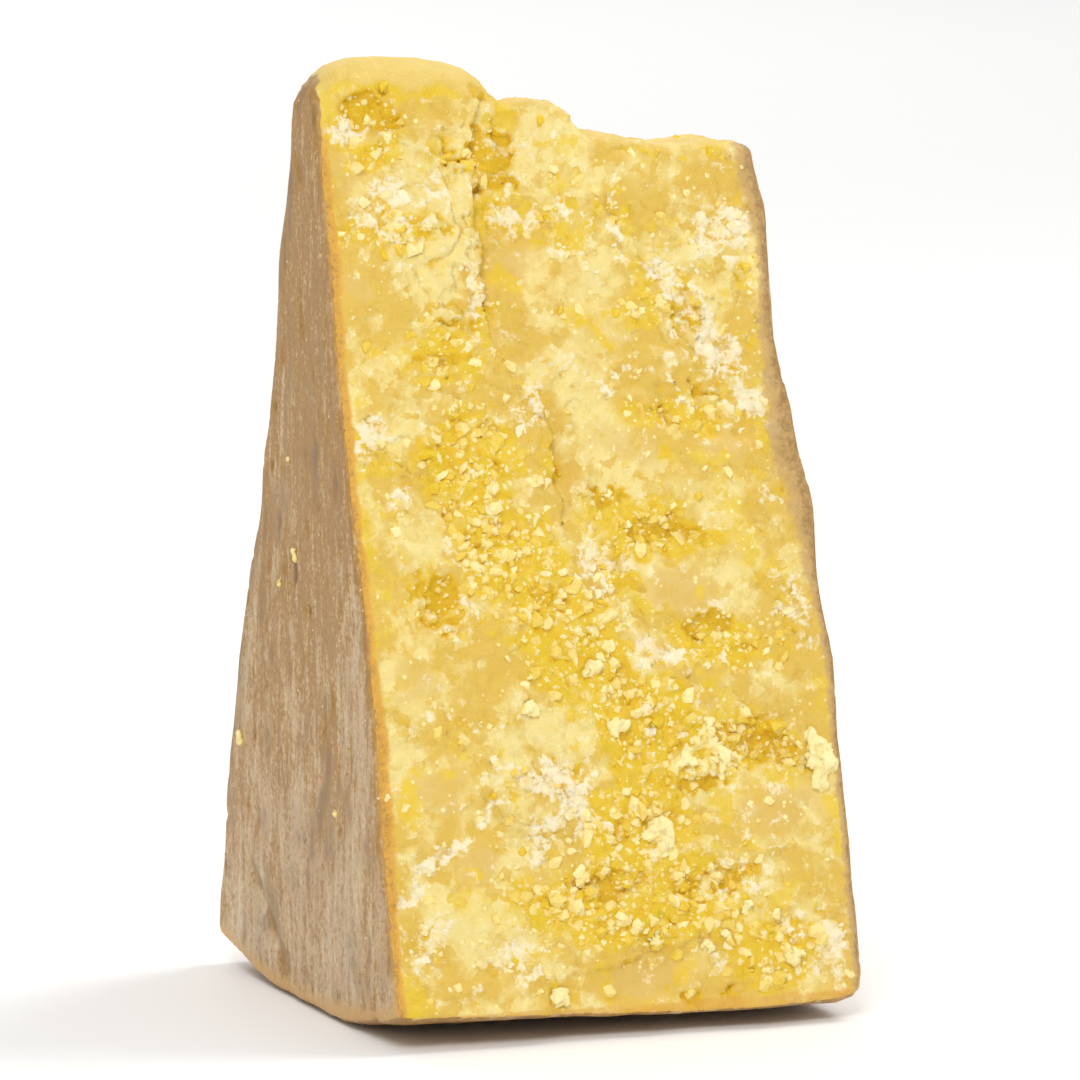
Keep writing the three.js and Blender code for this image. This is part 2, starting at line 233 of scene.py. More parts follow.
LOOSE = dict(crumbly=1, soft=0.9, own=0.3)
# The mask of the gold and amber tones: the golden hollows and crumbly ground, with painted shade in sunk
# places, in the gaps between granules and on steep faces turned from the key light
HOLLOWS_AND_SHADE = dict(gold=1, low=0.5, cliff=0.9, crumbly=0.5, lump=-0.5, flecks=1.2, own=0.7)
PASTE_LAYERS = [
    Layer("pale", 0.25, 0.95, 1, dict(clouds=1, soft=0.9, chip=0.45)),
    Layer("honey", 0.3, 1.1, 0.8, dict(smooth=1, soft=0.6, chip=0.2)),
    Layer("bright", 0.35, 0.75, 0.75, dict(yolk=1, soft=1.1, own=0.35)),
    Layer("pale", 0.3, 0.95, 0.9, dict(pale=1, soft=1.1, chip=0.5)),
    Layer("bright", 0.35, 0.95, 0.8, dict(bright=1, soft=0.9, own=0.3)),
    Layer("bright", 0.25, 0.8, 0.9, LOOSE),
    Layer("gold", 0.4, 1.25, 1, HOLLOWS_AND_SHADE),
    Layer("amber", 1.1, 1.9, 0.95, HOLLOWS_AND_SHADE),
    Layer("crystal", 0.5, 1, 0.9, dict(tops=1, flecks=0.7)),
    Layer("chalk", 0.4, 1.05, 0.95, dict(chalk=0.85, high=0.35, flecks=1.5, soft=1.1, chip=0.6)),
]
EDGE_LAYERS = [
    Layer("cream", 0.3, 0.9, 0.85, dict(cream=1)),
    Layer("band", 0.25, 0.85, 1, dict(band=1, soft=0.6)),
    Layer("fringe", 0.8, 1.4, 0.75, dict(band=1, soft=0.6, flecks=1.2)),
    Layer("fringe_tan", 0.15, 0.6, 0.9, dict(fringe=1, flecks=0.9, soft=0.7)),
    Layer("fringe", 0.65, 1.15, 0.85, dict(fringe=1, flecks=0.9, soft=0.7)),
]
# The mask of the greyer rind, greyer towards the bottom and in streaks; held back at the rubbed edge, and on
# the heel as painted shade along the chunk's underside
WEAR_AND_HEEL_SHADE = dict(worn=1, streaks=1.9, soft=0.9, flecks=1.1, heel=-0.7, arris=-0.7)
RIND_LAYERS = [
    Layer("grey", 0.2, 0.8, 1, WEAR_AND_HEEL_SHADE),
    Layer("silver", 0.75, 1.35, 0.9, WEAR_AND_HEEL_SHADE),
    Layer("bloom", 0, 0.4, 0.6, dict(streaks=1.6, flecks=1.4)),
    Layer("dark", 0, 0.4, 0.5, dict(streaks=-1.6, flecks=-1.4)),
    Layer("dark", 0.3, 0.8, 0.7, dict(stain=1, streaks=1.8, flecks=1.3, soft=0.8)),
    Layer("dark", 0.3, 0.9, 0.8, dict(dents=1, flecks=0.8)),
]
RUBBED_LAYERS = [Layer("rim", 0.2, 0.95, 0.85, dict(rim=1, arris=0.6, soft=0.9))]

# -------------------- settings


def millimetres(name, description, size):
    """A length that the user may change, given here in millimetres."""
    return FloatProperty(name=name, description=description, default=size * MM, min=0, precision=5,
                         unit="LENGTH")


def tone(name, description, code):
    """A colour that the user may change, given here as six hexadecimal digits."""
    screen = [int(code[i : i + 2], 16) / 255 for i in (0, 2, 4)]
    linear = [c / 12.92 if c <= 0.04045 else ((c + 0.055) / 1.055) ** 2.4 for c in screen]
    return FloatVectorProperty(name=name, description=description, default=linear, size=3, min=0, max=1,
                               subtype="COLOR")


def amount(name, description, number):
    """A whole number that the user may change."""
    return IntProperty(name=name, description=description, default=number, min=0)


def measure(name, description, size, **kind):
    """A strength, power, angle or length in Blender's own units."""
    return FloatProperty(name=name, description=description, default=size, **kind)


class SurfaceSizes(bpy.types.PropertyGroup):
    """Sizes of the relief of paste and rind."""

    cell: millimetres("Mesh cell", "Width of the fine surface's cells", 0.52)
    slab: millimetres("Slab height", "Height of the large tilted chips of the broken face", 0.2)
    slab_size: millimetres("Slab size", "Width of the large chips", 12)
    chip: millimetres("Chip height", "Height of the small chips", 0.22)
    chip_size: millimetres("Chip size", "Width of the small chips", 4.2)
    flake: millimetres("Flake height", "Height of the edges of thin broken layers", 0.6)
    flake_size: millimetres("Flake size", "Width of the waves that those edges follow", 13)
    granule: millimetres("Granule height", "Height of the crumbly ground's granules", 1.15)
    granule_size: millimetres("Granule size", "Width of a granule", 2.5)
    hollow: millimetres("Hollow depth", "Depth of the golden hollows", 0.8)
    rind_wave: millimetres("Rind waves", "Height of the rind's shallow waves", 0.22)
    dent: millimetres("Dent depth", "Depth of the rind's dents", 0.8)


class PasteTones(bpy.types.PropertyGroup):
    """Colours of the paste."""

    plain: tone("Paste", "The paste between its marks", "E0BA4C")
    pale: tone("Pale paste", "Lemon-cream clouds in the paste", "F1DC8D")
    honey: tone("Honey", "Smooth, riper places", "DBB862")
    bright: tone("Bright paste", "The crumbly ground", "E8C41C")
    # Gold and amber lie in the golden hollows, and also as painted shade in sunk places and on faces turned
    # from the key light
    gold: tone("Gold", "Hollows and crevices", "E8BE1C")
    shade: tone("Shade", "Pits in the crevices", "BC8E10")
    amber: tone("Amber", "The deepest hollows", "E0B50C")
    cream: tone("Cream", "The worn crest", "E5C666")
    chalk: tone("Chalk", "Dry white patches", "FAEDC8")
    crystal: tone("Crystal", "Crystals and pale grains", "FDEDAA")
    # Painted shade at the foot of the larger crumbs, where they meet the face
    crumb: tone("Crumb", "The foot of the larger loose crumbs", "EFD05A")
    band: tone("Band", "The golden layer under the rind", "DEA63C")
    fringe_tan: tone("Fringe tan", "The tan layer under the right rind", "C9A366")
    fringe: tone("Fringe", "The brown edge of the right rind", "97713C")


class RindTones(bpy.types.PropertyGroup):
    """Colours of the rind."""

    tan: tone("Tan", "The rind", "A97D3B")
    grey: tone("Grey", "Worn, paler streaks", "C3A379")
    silver: tone("Silver", "The most worn, lowest places", "D2C2A6")
    dark: tone("Dark", "Dents and stains", "7C5A32")
    rim: tone("Rim", "The rubbed edge", "D2A662")
    bloom: tone("Bloom", "Pale specks", "DCC9A4")


class ScatterSizes(bpy.types.PropertyGroup):
    """Sizes and numbers of the small pieces."""

    crystal_small: millimetres("Smallest crystal", "Radius of the smallest crystals", 0.2)
    crystal_large: millimetres("Largest crystal", "Radius of the largest crystals", 1)
    crystals: amount("Crystals", "Most crystals per square centimetre", 22)
    grain_small: millimetres("Smallest grain", "Radius of the smallest paste grains", 0.3)
    grain_large: millimetres("Largest grain", "Radius of the largest paste grains", 1.45)
    grains: amount("Grains", "Most grains per square centimetre", 60)
    flake_small: millimetres("Smallest flake", "Radius of the smallest flakes", 0.5)
    flake_large: millimetres("Largest flake", "Radius of the largest flakes", 1.3)
    flakes: amount("Flakes", "Most flakes per square centimetre", 14)
    speck_small: millimetres("Smallest speck", "Radius of the rind's smallest specks", 0.12)
    speck_large: millimetres("Largest speck", "Radius of the rind's largest specks", 0.4)
    specks: amount("Specks", "Most specks per square centimetre of rind", 3)
    seed: amount("Seed", "Changes where the small pieces lie", 4)


class StageSizes(bpy.types.PropertyGroup):
    """The floor, the lights and the camera."""

    floor: tone("Floor", "The pale floor", "FBFBFA")
    floor_reach: measure("Floor reach", "Half the floor's width", 14, min=1, unit="LENGTH")
    azimuth: measure("Azimuth", "Where the camera stands", math.radians(-21.26), unit="ROTATION")
    elevation: measure("Elevation", "How high the camera stands", math.radians(7), unit="ROTATION")
    distance: measure("Distance", "From the camera to its target", 1.2, min=0.3, unit="LENGTH")
    lens: measure("Lens", "Focal length", 245.6, min=1, subtype="DISTANCE_CAMERA")
    target: FloatVectorProperty(name="Target", description="What the camera looks at",
                                default=(0.77 * MM, 0, 74.47 * MM), subtype="XYZ", unit="LENGTH")
    key: measure("Key light", "Power of the key light", 7.2, min=0, unit="POWER")
    side: measure("Side light", "Power of the light at the right", 9.5, min=0, unit="POWER")
    behind: measure("Floor light", "Power of the light on the floor behind", 42, min=0, unit="POWER")
    sky: measure("Sky", "Strength of the light from all round", 0.62, min=0)


# Each light: its name, the setting of its power, its place, its width and what it is aimed at, in metres.
LIGHTS = [
    ("Key", "key", (-0.5, -0.95, 0.95), 0.5, (0, 0, 0.07)),
    ("Side light", "side", (0.95, 0.12, 1.35), 0.75, (0, 0, 0)),
    ("Floor light", "behind", (0, 3.2, 2.4), 3, (0, 3.2, 0)),
]

# -------------------- fields over the fine mesh


def ease(values, low, high):
    """0 below low and 1 above high, with a smooth rise between."""
    share = np.clip((values - low) / (high - low), 0, 1)
    return share * share * (3 - 2 * share)


def along(points, at, column=1):
    """The value of a list of (place, value, ...) at each place, eased from point to point."""
    table = np.array(points, float)
    places = table[:, 0]
    i = np.clip(np.searchsorted(places, at) - 1, 0, len(places) - 2)
    share = ease((at - places[i]) / (places[i + 1] - places[i]), 0, 1)
    return table[i, column] + (table[i + 1, column] - table[i, column]) * share


def scaled(points, size, seed):
    """Points for a pattern with waves or cells of the given size, in millimetres."""
    return (points / size + (seed * 7.3, seed * 3.1, seed * 5.7)).tolist()


def noise_at(points, *waves):
    """The sum of waves of smooth noise, each given by its size in millimetres, its seed and its height."""
    total = 0
    for size, seed, height in waves:
        total = total + np.array([noise.noise(p) for p in scaled(points, size, seed)]) * height
    return total


def shifted(points, size, seed, height):
    """The points, each moved along every axis by a wave of smooth noise."""
    return points + np.column_stack([noise_at(points, (size, seed + axis, height)) for axis in range(3)])


def chips_at(points, size, seed):
    """Ground of flat chips, each tilted its own way: its height, of about -1 to 1."""
    heights = []
    for p in scaled(points, size, seed):
        middle = noise.voronoi(p)[1][0]
        tilt = noise.cell_vector(middle)
        lift = noise.cell(middle + Vector((0, 0, 31)))
        heights.append((Vector(p) - middle).dot(tilt * 2 - Vector((1, 1, 1))) + lift - 0.5)
    return np.array(heights)


def granules_at(points, size, seed):
    """Ground of round granules: 0 in the gaps and up to 1 on their tops, and each one's own number."""
    near = [noise.voronoi(p) for p in scaled(points, size, seed)]
    gap = np.array([distances[1] - distances[0] for distances, _ in near])
    own = np.array([noise.cell(middles[0]) for _, middles in near])
    return ease(gap, 0, 0.6) * (0.45 + 0.55 * own), own


def flakes_at(points, size, seed):
    """Ground of thin layers: each slopes down from 0 to about -1 and ends at the next one's edge."""
    x, y, z = points.T
    along_edge = (x * math.cos(FLAKE_TURN) + z * math.sin(FLAKE_TURN)) * FLAKE_STRETCH
    across = z * math.cos(FLAKE_TURN) - x * math.sin(FLAKE_TURN)
    field = noise_at(np.column_stack((along_edge, y, across)), (size, seed, FLAKE_LAYERS))
    field += noise_at(points, (size * 0.24, seed + 1, 0.9))
    rest = field - np.floor(field)
    return ease(rest, FLAKE_EDGE, 1) - rest


def spots_at(marks, a, b):
    """The strength of a list of spots at the places (a, b) of a face."""
    strength = np.zeros(len(a))
    for spot in marks:
        turn = math.radians(spot.turn)
        across = (a - spot.x) * math.cos(turn) + (b - spot.z) * math.sin(turn)
        up = (b - spot.z) * math.cos(turn) - (a - spot.x) * math.sin(turn)
        away = np.hypot(across / spot.wide, up / spot.high)
        strength = np.maximum(strength, spot.strength * (1 - ease(away, SPOT_CORE, SPOT_EDGE)))
    return strength


def lines_at(lines, a, b):
    """The strength of a list of thin lines at the places (a, b) of a face."""
    strength = np.zeros(len(a))
    for line in lines:
        for (a0, b0), (a1, b1) in zip(line.points, line.points[1:]):
            run = np.array([a1 - a0, b1 - b0])
            share = np.clip(((a - a0) * run[0] + (b - b0) * run[1]) / run.dot(run), 0, 1)
            away = np.hypot(a - a0 - share * run[0], b - b0 - share * run[1])
            left = 1 - ease(away / line.wide, LINE_CORE, LINE_EDGE)
            strength = np.maximum(strength, line.strength * left)
    return strength


def bell(values, middle, width):
    """1 at the middle, falling off to both sides."""
    return np.exp(-(((values - middle) / width) ** 2))


def spread(mesh, values, rounds):
    """The values averaged over neighbouring points, several times."""
    edges = np.empty(len(mesh.edges) * 2, int)
    mesh.edges.foreach_get("vertices", edges)
    one, other = edges.reshape(-1, 2).T
    count = len(mesh.vertices)
    neighbours = np.bincount(one, minlength=count) + np.bincount(other, minlength=count)
    for _ in range(rounds):
        total = np.bincount(one, values[other], count) + np.bincount(other, values[one], count)
        values = (values + total / np.maximum(neighbours, 1)) / 2
    return values


def vectors(mesh, field):
    """The places or normals of a mesh's points, one row each."""
    values = np.empty(len(mesh.vertices) * 3)
    mesh.vertices.foreach_get(field, values)
    return values.reshape(-1, 3)


def store(mesh, name, values):
    """Keeps a number for each point of a mesh, for the materials and the small pieces."""
    mesh.attributes.new(name, "FLOAT", "POINT").data.foreach_set("value", values.astype(np.float32))


class Ground:
    """The fine mesh of the chunk: its points in millimetres, and where the rind and marks lie."""

    RIGHT_LINE_TOP, LEFT_LINE_TOP = 134, 146  # above these heights the side is read as going straight on
    HEEL_RISE = 5.0  # height of the heel's front and back edge over the table
    ROUGH, ROUGH_SIZE = 0.32, 1.8  # height and width of the smallest chips
    NEAR, WIDE, EDGE = 20, 80, 16  # rounds of spreading, for small relief, wide relief and the rind's edge
    # The marks that are stored as they were found
    STORED = "rind band fringe heel chalk gold smooth pale bright crumbly cream lump lump_tone dents".split()

    def __init__(self, mesh):
        self.mesh = mesh
        self.points = vectors(mesh, "co") / MM
        self.normals = vectors(mesh, "normal")
        self.x, self.y, self.z = self.points.T
        self.front = self.y < 0
        self.find_rind()
        self.find_marks()

    def side_line(self, pick, top):
        """The x of one side at each point's height."""
        heights = np.arange(2, top, 4)
        line = [pick(self.x[np.abs(self.z - h) < 2.5]) for h in heights]
        return np.interp(self.z, heights, line)

    def find_rind(self):
        """The rind, and the layers of paste that lie just under it."""
        from_left = self.x - self.side_line(np.min, self.LEFT_LINE_TOP)
        from_right = self.side_line(np.max, self.RIGHT_LINE_TOP) - self.x
        self.from_heel = self.z - self.HEEL_RISE * (self.y / self.y.max()) ** 2
        sideways = ease(np.abs(self.normals[:, 0]), 0.5, 0.8)
        flat = sideways * (1 - ease(np.minimum(from_left, from_right), 3, 4.5))
        self.heel = ease(-self.normals[:, 2], 0.5, 0.8) * (1 - ease(self.from_heel, 3, 4.5))
        self.rind = np.maximum(flat, self.heel)
        self.inland = np.minimum(np.minimum(from_left, from_right), self.from_heel * 1.6)
        ragged = noise_at(self.points, (5, 11, 0.8), (1.7, 12, 0.5))
        width = 2.1 + 1.4 * bell(self.z, 42, 22) + ragged * 0.6
        left_band = 1 - ease(from_left, width * 0.55, width * 1.25)
        heel_band = 1 - ease(self.from_heel, 0.3 + ragged * 0.3, 1 + ragged * 0.5)
        self.band = np.maximum(left_band * ease(150 - self.z, 0, 14), heel_band * 0.6)
        width = 3 + 6 * bell(self.z, 90, 16) + 3.6 * bell(self.z, 137, 8) + ragged * 1.2
        self.fringe = 1 - ease(from_right, 1, width)

    def find_marks(self):
        """The marks of the paste, at each point's place on its broken face."""
        torn = [noise_at(self.points, (4.4, seed, 2.2), (1.6, seed + 1, 1.5)) for seed in (21, 23)]
        a = np.where(self.front, self.x, -self.x) + torn[0]
        b = np.where(self.front, self.z, BACK_TURN - self.z) + torn[1]
        patches = noise_at(self.points, (9, 31, 0.6), (3.4, 32, 0.4))
        self.chalk = np.maximum(spots_at(CHALK, a, b), lines_at(VEINS, a, b))
        self.chalk = np.maximum(self.chalk, ease(patches, 0.05, 0.6) * 0.6)
        frayed = a + noise_at(self.points, (1.3, 25, 1.5)), b + noise_at(self.points, (1.3, 26, 1.5))
        self.gold = np.maximum(spots_at(GOLD, *frayed), ease(-patches, 0.3, 0.6) * 0.45)
        self.smooth = spots_at(SMOOTH, a, b)
        self.pale = spots_at(PALE, a, b)
        self.bright = spots_at(YOLK, a, b)
        self.flaky = 0.45 + spots_at(FLAKY, a, b)
        ground = spots_at(CRUMBLY, a, b) * (1 - 0.7 * np.minimum(self.smooth, 1))
        stray = ease(noise_at(self.points, (6, 35, 1)), 0.25, 0.5) * 0.5
        self.crumbly = np.maximum(np.maximum(ground, 0.7 * self.gold), stray)
        self.crumbly *= 1 - 0.8 * ease(self.gold, 1.25, 1.5)
        worn = ease(self.normals[:, 2], 0.35, 0.75) * (self.z > 120) * (1 - 0.6 * ease(self.x, -12, 0))
        self.cream = np.maximum(spots_at(CREAM, self.x + torn[0] * 0.5, self.z + torn[1] * 0.5), worn * 0.8)
        self.gold *= 1 - 0.6 * np.minimum(self.cream, 1)
        on_rind = self.y + torn[0] * 0.3, self.z + torn[1] * 0.3
        self.dents = np.maximum(spots_at(DENTS, *on_rind), lines_at(SCORES, *on_rind)) * (self.x < 0)

    def relief(self, sizes):
        """The height of the fine relief over the solid's form, in millimetres."""
        mm = {name: getattr(sizes, name) / MM for name in SurfaceSizes.__annotations__}
        smooth = np.minimum(np.maximum(self.smooth, self.cream), 1)
        crumbly = np.minimum(self.crumbly, 1)
        warped = shifted(self.points, 1.7, 15, 0.9)
        lumps, self.lump_tone = granules_at(warped, mm["granule_size"], 3)
        small, _ = granules_at(warped, mm["granule_size"] * 0.5, 13)
        self.lump = lumps * crumbly
        paste = chips_at(self.points, mm["slab_size"], 1) * mm["slab"] * (1 - 0.4 * smooth)
        paste += chips_at(self.points, mm["chip_size"], 2) * mm["chip"] * (1 - 0.8 * smooth)
        paste += flakes_at(self.points, mm["flake_size"], 8) * mm["flake"] * self.flaky * (1 - 0.8 * smooth)
        grown = self.lump + 0.3 * small * crumbly - 0.55 * self.crumbly
        paste += grown * mm["granule"] * (1 - 0.6 * smooth)
        paste -= ease(self.gold, 0.25, 1.1) * mm["hollow"]
        rough = chips_at(warped, self.ROUGH_SIZE, 9) * self.ROUGH
        paste += rough * (0.25 + np.minimum(self.chalk, 1)) * (1 - 0.7 * smooth)
        paste += noise_at(self.points, (1.1, 4, 0.1)) + noise_at(warped, (3.2, 5, 0.28))
        paste *= 0.3 + 0.7 * ease(self.inland, 0.2, 3.5)
        waves = noise_at(self.points * (1, 1, 0.16), (2.6, 6, 0.6)) + noise_at(self.points, (9, 7, 1))
        scars = ease(noise_at(self.points * (1, 1, 0.45), (2.4, 71, 1)), 0.38, 0.6)
        rind = waves * mm["rind_wave"] - np.maximum(self.dents, scars * 0.35) * mm["dent"]
        return paste * (1 - self.rind) + rind * self.rind

    def step_moves(self):
        """How far each point moves along Y, in millimetres, to make the front's soft steps sharp."""
        tree = BVHTree.FromPolygons(self.points.tolist(), [p.vertices[:] for p in self.mesh.polygons])
        torn = noise_at(self.points, (4, 41, 0.9), (1.3, 42, 0.45))
        past = self.x + torn - along(FRONT_STEP, self.z)
        foot, top = FRONT_STEP[0][0], FRONT_STEP[-1][0] - 3  # the last 3 mm stay soft
        on_step = (along(FRONT_STEP, self.z, 2) > 0.5) & (self.z > foot) & (self.z < top)
        moves = self.sharpened(tree, past, on_step, np.array([1, 0]))
        past = along(FRONT_LEDGE, self.x) - self.z - torn
        return moves + self.sharpened(tree, past, along(FRONT_LEDGE, self.x, 2) > 0.5, np.array([0, -1]))

    def sharpened(self, tree, past, on_step, way):
        """Moves along Y that turn a step's slope into two levels, with a sharp edge between them.

        A point is past the edge by some millimetres, measured along the way that crosses the edge.
        """
        moves = np.zeros(len(self.points))
        near = np.nonzero(self.front & on_step & (np.abs(past) < STEP_REACH) & (self.rind < 0.5))[0]
        for i in near:
            edge = np.array([self.x[i], self.z[i]]) - past[i] * way
            levels = []
            for reach in (-STEP_REACH, STEP_REACH):
                x, z = edge + way * reach
                hit = tree.ray_cast(Vector((x, -FAR_OFF, z)), Vector((0, 1, 0)))[0]
                levels.append(self.y[i] if hit is None else hit.y)
            share = float(ease(past[i], -STEP_SLOPE, STEP_SLOPE))
            moves[i] = levels[0] + (levels[1] - levels[0]) * share - self.y[i]
        return moves

    def shape(self, sizes):
        """Moves the points to their places, and gives every mark of the finished surface."""
        height = self.relief(sizes)
        points = self.points + self.normals * height[:, None]
        points[:, 1] += self.step_moves()
        points[:, 2] = np.where(self.z < RESTING, self.z, np.maximum(points[:, 2], 0))
        self.mesh.vertices.foreach_set("co", (points * MM).ravel())
        self.mesh.update()
        facing = vectors(self.mesh, "normal")
        # Faces turned to the right or downwards, away from the key light
        turned_from_key = ease(np.maximum(facing[:, 0], -facing[:, 2]), 0.35, 0.8)
        around = spread(self.mesh, height, self.NEAR)
        wide = spread(self.mesh, around, self.WIDE)
        on_side, on_paste = 1 - self.heel, 1 - self.rind
        inner = on_paste * ease(self.inland, 1.5, 4)
        cream = np.minimum(self.cream, 1)
        loose = inner * (1 - 0.75 * np.minimum(self.smooth, 1)) * (1 - cream)
        marks = {name: getattr(self, name) for name in self.STORED}
        marks.update(
            # Painted shade: places sunk below their neighbours, which the golden tones darken
            low=np.clip((around - height) / 0.35 + (wide - around) / 0.5, 0, 1.5),
            high=np.clip((height - around) / 0.3 + (around - wide) / 0.5, 0, 1.5),
            # Painted shade: the golden tones also fill steep faces turned right or downwards, away from the
            # key light
            cliff=turned_from_key * on_paste * ease(self.inland, 1, 3),
            rim=self.rind * (1 - ease(self.from_heel, 0.8, 4.6)) * on_side,
            arris=self.rind * (1 - ease(spread(self.mesh, self.rind, self.EDGE), 0.6, 0.97)) * on_side,
            crystal_share=inner * (0.1 + 0.9 * self.crumbly) * (1 - 0.6 * cream),
            grain_share=loose * (0.03 + 0.97 * self.crumbly ** 1.5),
            flake_share=loose * np.clip(self.chalk, 0, 1),
            speck_share=self.rind * on_side,
        )
        return marks


def tints_at(points):
    """The wide patches of colour of paste and rind, each about 0 to 1, at points in millimetres."""
    bent = shifted(points, 8, 51, 3.5)
    streaked = bent * (1, 1, 0.35)
    lower = (48 - points[:, 2]) / 65
    return dict(clouds=0.45 + 0.9 * noise_at(bent, (13, 54, 1), (5, 55, 0.5)),
                yolk=0.1 + 1.1 * noise_at(bent, (9, 56, 1), (3.6, 57, 0.5)),
                worn=0.45 + 0.5 * (noise_at(streaked, (11, 58, 1), (4, 59, 0.6)) + lower),
                stain=0.05 + 0.9 * noise_at(streaked, (7, 60, 1), (2.6, 61, 0.7)))


# -------------------- meshes


def placed(name, data):
    """A new object in the scene."""
    thing = bpy.data.objects.new(name, data)
    bpy.context.collection.objects.link(thing)
    return thing


def baked(host):
    """The host's mesh with its modifiers applied, and the host removed."""
    mesh = bpy.data.meshes.new_from_object(host.evaluated_get(bpy.context.evaluated_depsgraph_get()))
    old = host.data
    bpy.data.objects.remove(host)
    bpy.data.meshes.remove(old)
    return mesh


def cells(host, size):
    """Gives a mesh small even cells."""
    remesh = host.modifiers.new("Cells", "REMESH")
    remesh.mode = "VOXEL"
    remesh.voxel_size = size


def triangles(mesh):
    """How many triangles a mesh has."""
    return sum(len(polygon.vertices) - 2 for polygon in mesh.polygons)


def fine_copy(node, cell):
    """A closed mesh of small even cells over a node's form."""
    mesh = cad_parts[node].data.copy()
    merged = bmesh.new()
    merged.from_mesh(mesh)
    bmesh.ops.remove_doubles(merged, verts=merged.verts, dist=MM / 1000)
    merged.to_mesh(mesh)
    merged.free()
    host = placed("fine_copy", mesh)
    cells(host, cell)
    host.modifiers.new("Soften", "SMOOTH").iterations = 2
    return baked(host)


def thinned(mesh, most, marks):
    """The mesh with at most that many triangles, fewest where it is flat, with marks as attributes."""
    tree = KDTree(len(mesh.vertices))
    for i, vertex in enumerate(mesh.vertices):
        tree.insert(vertex.co, i)
    tree.balance()
    host = placed("thinned", mesh)
    host.modifiers.new("Thin", "DECIMATE").ratio = min(1, most / triangles(mesh))
    thin = baked(host)
    nearest = np.array([tree.find(vertex.co)[1] for vertex in thin.vertices])
    for name, values in marks.items():
        store(thin, name, values[nearest])
    for name, values in tints_at(np.array([vertex.co for vertex in thin.vertices]) / MM).items():
        store(thin, name, values)
    return thin


def add_piece(name, mesh, material):
    """Puts a finished mesh in the scene as a piece of the chunk."""
    if not 0 < triangles(mesh) <= MOST_TRIANGLES:
        raise RuntimeError(f"{name} has {triangles(mesh)} triangles")
    mesh.name = name
    mesh.materials.clear()
    mesh.materials.append(material)
    piece = placed(name, mesh)
    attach(piece, BODY)
    return piece


# -------------------- node trees


class Wiring:
    """Adds nodes to a tree. Any input may be given as a value or as another node's socket."""

    def __init__(self, tree):
        self.tree = tree

    def fill(self, socket, value):
        """Gives a socket a value, or wires another node's socket to it."""
        if isinstance(value, bpy.types.NodeSocket):
            self.tree.links.new(value, socket)
        else:
            socket.default_value = value

    def add(self, kind, inputs=None, **settings):
        """A new node, with its settings and its inputs."""
        node = self.tree.nodes.new(kind)
        row, column = divmod(len(self.tree.nodes), 9)
        node.location = (column * 190, row * -280)
        for name, value in settings.items():
            setattr(node, name, value)
        for key, value in (inputs or {}).items():
            self.fill(node.inputs[key], value)
        return node

    def math(self, operation, *values):
        return self.add("ShaderNodeMath", dict(enumerate(values)), operation=operation).outputs[0]

    def vector(self, operation, first, second):
        key = "Scale" if operation == "SCALE" else 1
        return self.add("ShaderNodeVectorMath", {0: first, key: second}, operation=operation).outputs[0]

    def rise(self, value, low, high, start=0.0, end=1.0):
        """start below low and end above high, with a smooth rise between."""
        inputs = {"Value": value, "From Min": low, "From Max": high, "To Min": start, "To Max": end}
        return self.add("ShaderNodeMapRange", inputs, interpolation_type="SMOOTHSTEP").outputs[0]

    def between(self, share, first, second):
        """A number between two others."""
        return self.add("ShaderNodeMix", {0: share, 2: first, 3: second}, data_type="FLOAT").outputs[0]

    def mix(self, share, first, second):
        """A colour between two others."""
        node = self.add("ShaderNodeMix", {0: share}, data_type="RGBA", clamp_factor=True)
        for key, value in ((6, first), (7, second)):
            self.fill(node.inputs[key], value if isinstance(value, bpy.types.NodeSocket) else (*value, 1))
        return node.outputs[2]

    def noise(self, vector, size, detail=2.0, roughness=0.5, output="Fac"):
        """Noise of 0 to 1 with waves of a size in millimetres, on a vector in millimetres."""
        inputs = {"Vector": vector, "Scale": 1 / size, "Detail": detail, "Roughness": roughness}
        return self.add("ShaderNodeTexNoise", inputs).outputs[output]

    def cell_noise(self, vector, scale):
        """Each cell's own three numbers, and how far its middle is."""
        cell = self.add("ShaderNodeTexVoronoi", {"Vector": vector, "Scale": scale}).outputs
        return self.add("ShaderNodeSeparateColor", {"Color": cell["Color"]}).outputs, cell["Distance"]

    def random(self, seed, low=None, high=None):
        """A random number of 0 to 1, or a random vector between two others."""
        if low is None:
            return self.add("FunctionNodeRandomValue", {"Seed": seed}, data_type="FLOAT").outputs[1]
        inputs = {0: low, 1: high, "Seed": seed}
        return self.add("FunctionNodeRandomValue", inputs, data_type="FLOAT_VECTOR").outputs[0]

    def mark(self, name):
        """A mark that was stored on the mesh."""
        return self.add("ShaderNodeAttribute", attribute_name=name).outputs["Fac"]

    def stored(self, name):
        """The same in a tree of Geometry Nodes."""
        node = self.add("GeometryNodeInputNamedAttribute", {"Name": name}, data_type="FLOAT")
        return node.outputs["Attribute"]

    def place(self):
        """The place on the piece, in millimetres."""
        return self.vector("SCALE", self.add("ShaderNodeTexCoord").outputs["Object"], 1 / MM)

    def use(self, name, **inputs):
        """Places one of the shared node groups, which is made when it is first used."""
        tree = bpy.data.node_groups.get(name) or SHARED_GROUPS[name](name)
        return self.add("ShaderNodeGroup", inputs, node_tree=tree).outputs


def group(name, kind, inputs, outputs):
    """A node group with named sockets: its tree, its wiring, and its input and output sockets."""
    tree = bpy.data.node_groups.new(name, kind)
    for direction, sockets in (("INPUT", inputs), ("OUTPUT", outputs)):
        for label, socket in sockets.items():
            tree.interface.new_socket(name=label, in_out=direction, socket_type="NodeSocket" + socket)
    w = Wiring(tree)
    start = w.add("NodeGroupInput")
    end = w.add("NodeGroupOutput")
    return tree, w, start.outputs, end.inputs


